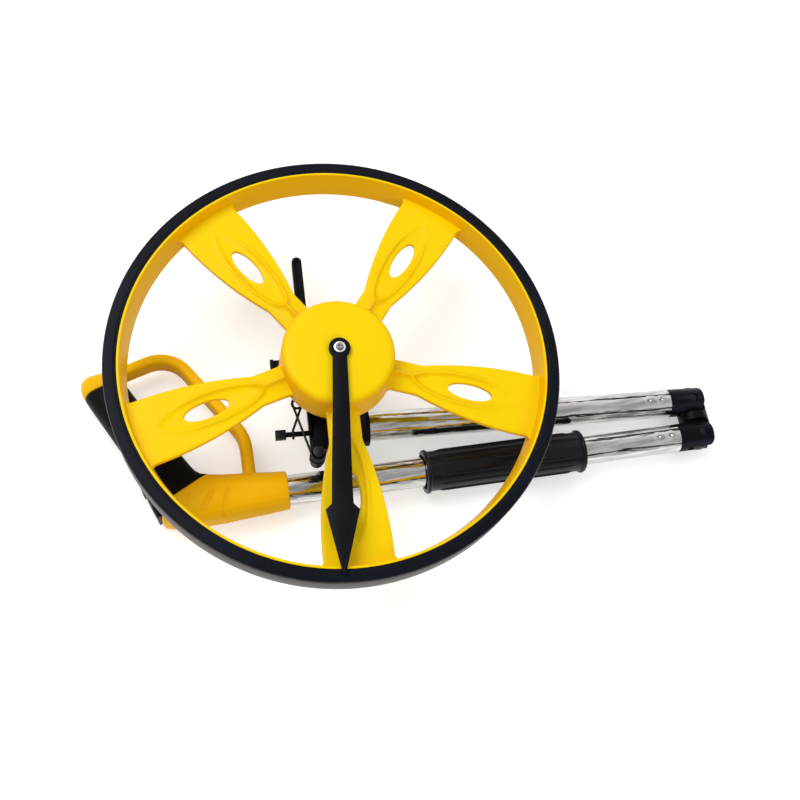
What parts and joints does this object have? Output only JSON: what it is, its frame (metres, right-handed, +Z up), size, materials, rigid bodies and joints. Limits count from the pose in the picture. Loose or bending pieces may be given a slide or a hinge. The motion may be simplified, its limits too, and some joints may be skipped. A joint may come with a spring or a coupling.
{
  "type": "digital measuring wheel",
  "caption": "Folding walking measuring wheel: spoked yellow wheel with tyre and plumb pointer, kick stand, folding tube shaft with lock sleeve, pistol-grip handle with display.",
  "frame": {"origin": "on the wheel axis, on the plane that the folded wheel lies on (the back cover of the axle bracket)", "axes": "+X along the wheel-side tube towards the fold hinge, +Z up along the wheel axis, out of the wheel's face"},
  "size_m": [0.4771, 0.3182, 0.0978],
  "materials": {
    "tyre": "smooth moulded rubber",
    "yellow_plastic": "moulded, half gloss",
    "black_plastic": "moulded, fine texture",
    "grip_rubber": "moulded rubber",
    "chrome": "bright chrome plate",
    "steel": "turned steel",
    "spring_steel": "blackened wire",
    "magnet": "sintered magnet",
    "board": "solder mask",
    "lens": "clear",
    "lcd": "satin",
    "button": "moulded, fine texture",
    "cell": "printed foil, plain"
  },
  "bodies": {
    "frame": {"axle_bracket": "black_plastic", "bracket_cover": "black_plastic", "bracket_screws": "steel", "sensor_board": "board", "axle_bolt": "steel", "axle_nut": "steel", "axle_spacer": "steel", "bearing_inner_rings": "steel", "axle_clip": "steel", "pointer_washer": "steel", "pointer_screw": "steel", "stand_pin": "steel", "spring_post": "black_plastic", "stand_spring": "spring_steel", "lower_tube": "chrome", "lower_knuckle": "black_plastic", "lower_lock_pins": "steel", "lower_hinge_pin": "steel"},
    "wheel": {"spoked_wheel": "yellow_plastic", "tyre": "tyre", "bearing_outer_rings": "steel", "bearing_balls": "steel", "hub_spacer": "steel", "magnet_ring": "magnet"},
    "pointer_arm": {"pointer": "black_plastic"},
    "stand": {"stand_leg": "black_plastic"},
    "link": {"fold_link": "black_plastic"},
    "handle": {"upper_tube": "chrome", "upper_knuckle": "black_plastic", "upper_lock_pins": "steel", "upper_hinge_pin": "steel", "front_shell": "yellow_plastic", "rear_shell": "yellow_plastic", "grip_rubber": "grip_rubber", "shell_screws": "steel", "display_frame": "black_plastic", "display_lens": "lens", "lcd_panel": "lcd", "display_board": "board", "battery_tray": "black_plastic", "batteries": "cell", "battery_contacts": "steel", "battery_cover": "black_plastic", "battery_screw": "steel"},
    "sleeve": {"lock_sleeve": "black_plastic"},
    "power": {"power_button": "button"},
    "zero": {"zero_button": "button"},
    "unit": {"unit_button": "button"}
  },
  "joints": [
    {"name": "wheel_spin", "type": "hinge", "parent": "frame", "child": "wheel", "pos_m": [0, 0, 0.071], "axis": [0, 0, 1], "continuous": true},
    {"name": "pointer_swing", "type": "hinge", "parent": "frame", "child": "pointer_arm", "pos_m": [0, 0, 0.0935], "axis": [0, 0, 1], "continuous": true},
    {"name": "stand_swing", "type": "hinge", "parent": "frame", "child": "stand", "pos_m": [-0.0186, -0.062, 0.0395], "axis": [0, 0, 1], "range_deg": [0, 90]},
    {"name": "fold_wheel_side", "type": "hinge", "parent": "frame", "child": "link", "pos_m": [0.2832, -0.0314, 0.0165], "axis": [0, 0, 1], "range_deg": [0, 88.62]},
    {"name": "fold_handle_side", "type": "hinge", "parent": "link", "child": "handle", "pos_m": [0.28388, -0.05979, 0.0165], "axis": [0, 0, 1], "range_deg": [0, 88.62]},
    {"name": "sleeve_slide", "type": "slide", "parent": "handle", "child": "sleeve", "axis": [0.9988, 0.0482, 0], "range_m": [-0.097, 0.075]},
    {"name": "press_power", "type": "slide", "parent": "handle", "child": "power", "axis": [0.9208, 0.3901, 0], "range_m": [0, 0.0008], "stiffness_N_per_m": 1200},
    {"name": "press_zero", "type": "slide", "parent": "handle", "child": "zero", "axis": [0.9208, 0.3901, 0], "range_m": [0, 0.0008], "stiffness_N_per_m": 1200},
    {"name": "press_unit", "type": "slide", "parent": "handle", "child": "unit", "axis": [0.9208, 0.3901, 0], "range_m": [0, 0.0008], "stiffness_N_per_m": 1200}
  ],
  "couplings": [
    {"joint": "fold_handle_side", "follows": "fold_wheel_side", "ratio": 1}
  ]
}
